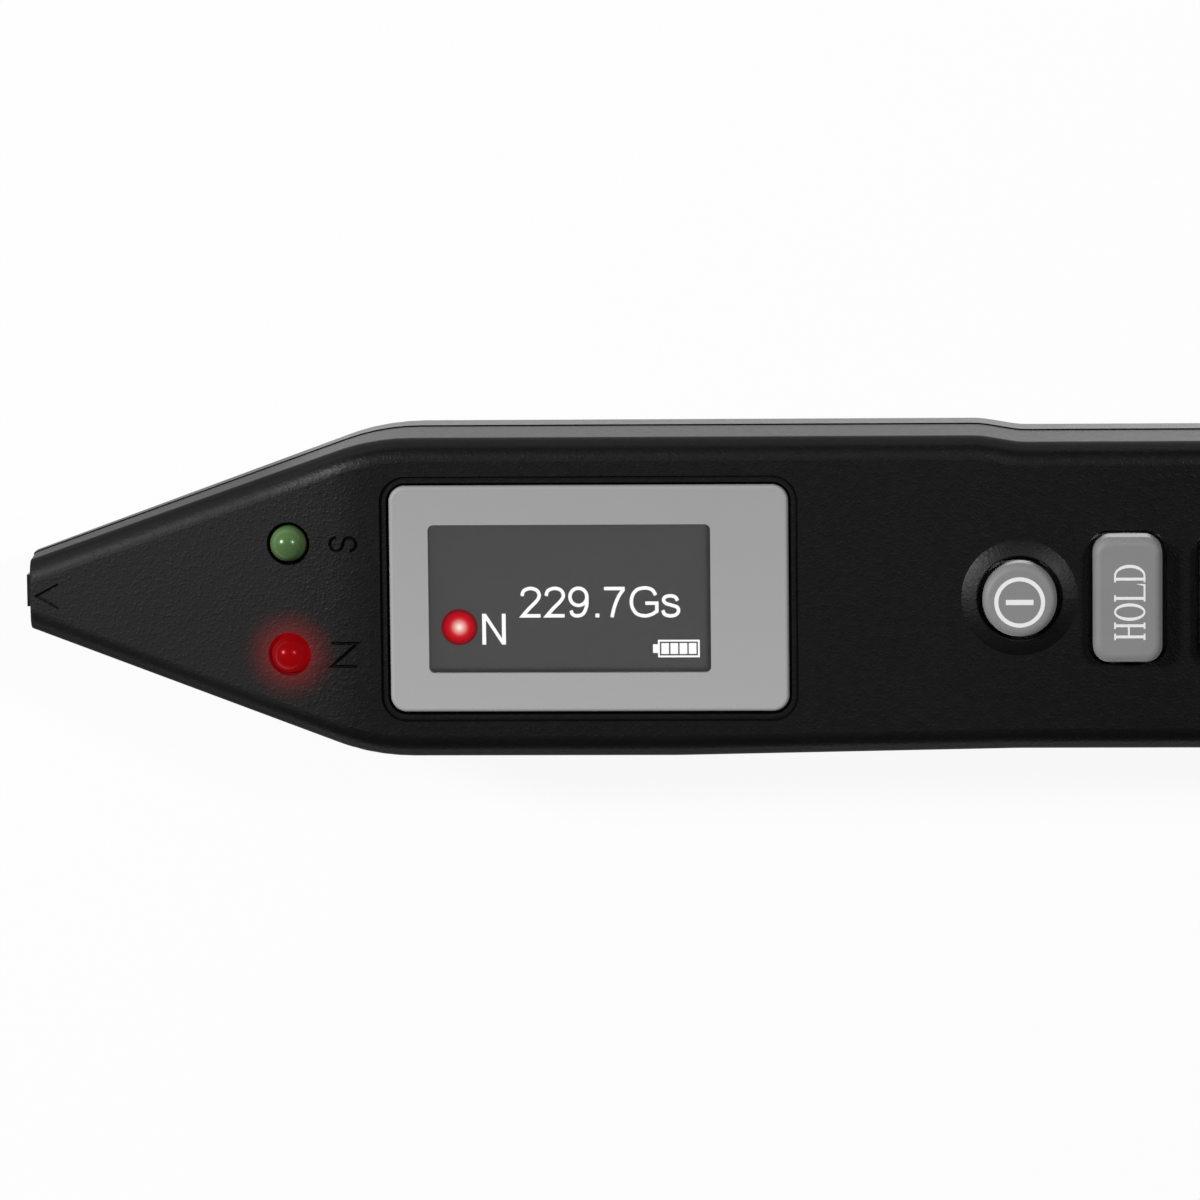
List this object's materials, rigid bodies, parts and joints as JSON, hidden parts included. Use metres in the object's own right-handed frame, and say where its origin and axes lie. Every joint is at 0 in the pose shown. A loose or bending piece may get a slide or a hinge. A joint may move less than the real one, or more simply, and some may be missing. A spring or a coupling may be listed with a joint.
{
  "type": "magnetic field meter",
  "caption": "Pen-type magnetic field meter with a tapered probe nose, colour display, pole lamps, push keys and a sliding battery door.",
  "frame": {"origin": "middle of the bounding box, on the flat back that the meter rests on", "axes": "+X from the probe tip to the tail, +Y across the face towards the green lamp, +Z out of the display face"},
  "size_m": [0.1604, 0.026, 0.0194],
  "materials": {
    "case_black": "fine spark-eroded texture, matt",
    "tip_black": "smooth moulded",
    "bezel_grey": "smooth satin",
    "key_grey": "satin with white printed marks",
    "clear_window": "clear polished plastic",
    "display_dark": "lit colour display",
    "lamp_green": "tinted clear epoxy, unlit",
    "lamp_red": "tinted clear epoxy, lit",
    "board_green": "solder mask",
    "moulded_white": "plain moulded",
    "flex_amber": "polyimide film",
    "foam_black": "closed-cell foam",
    "chip_black": "moulded epoxy",
    "ceramic_tan": "sintered ceramic",
    "tinned_steel": "nickel or tin plated",
    "cell_can": "printed shrink sleeve over a can"
  },
  "bodies": {
    "case": {"front_case": "case_black", "rear_case": "case_black", "tip_insert": "tip_black", "display_bezel": "bezel_grey", "window_lens": "clear_window", "display_panel": "display_dark", "led_south": "lamp_green", "led_north": "lamp_red", "main_board": "board_green", "display_holder": "moulded_white", "led_spacers": "moulded_white", "flex_connector": "moulded_white", "display_flex": "flex_amber", "display_gasket": "foam_black", "bezel_adhesive": "foam_black", "hall_sensor": "chip_black", "microcontroller": "chip_black", "sensor_amplifier": "chip_black", "boost_converter": "chip_black", "boost_inductor": "chip_black", "power_switch": "chip_black", "hold_switch": "chip_black", "zero_switch": "chip_black", "board_capacitors": "ceramic_tan", "hall_sensor_leads": "tinned_steel", "led_leads": "tinned_steel", "switch_legs": "tinned_steel", "switch_covers": "tinned_steel", "crystal": "tinned_steel", "case_screws": "tinned_steel", "board_screws": "tinned_steel", "negative_contact": "tinned_steel", "positive_contact": "tinned_steel", "bridge_contact": "tinned_steel", "battery_springs": "tinned_steel", "battery_cell_left": "cell_can", "battery_cell_right": "cell_can"},
    "power_key": {"power_button": "key_grey", "power_stem": "chip_black"},
    "hold_key": {"hold_button": "key_grey", "hold_stem": "chip_black"},
    "zero_key": {"zero_button": "key_grey", "zero_stem": "chip_black"},
    "door": {"battery_door": "case_black"}
  },
  "joints": [
    {"name": "power_press", "type": "slide", "parent": "case", "child": "power_key", "axis": [0, 0, -1], "range_m": [0, 0.0005], "stiffness_N_per_m": 1500},
    {"name": "hold_press", "type": "slide", "parent": "case", "child": "hold_key", "axis": [0, 0, -1], "range_m": [0, 0.0005], "stiffness_N_per_m": 1500},
    {"name": "zero_press", "type": "slide", "parent": "case", "child": "zero_key", "axis": [0, 0, -1], "range_m": [0, 0.0005], "stiffness_N_per_m": 1500},
    {"name": "door_slide", "type": "slide", "parent": "case", "child": "door", "axis": [1, 0, 0], "range_m": [0, 0.05]}
  ]
}
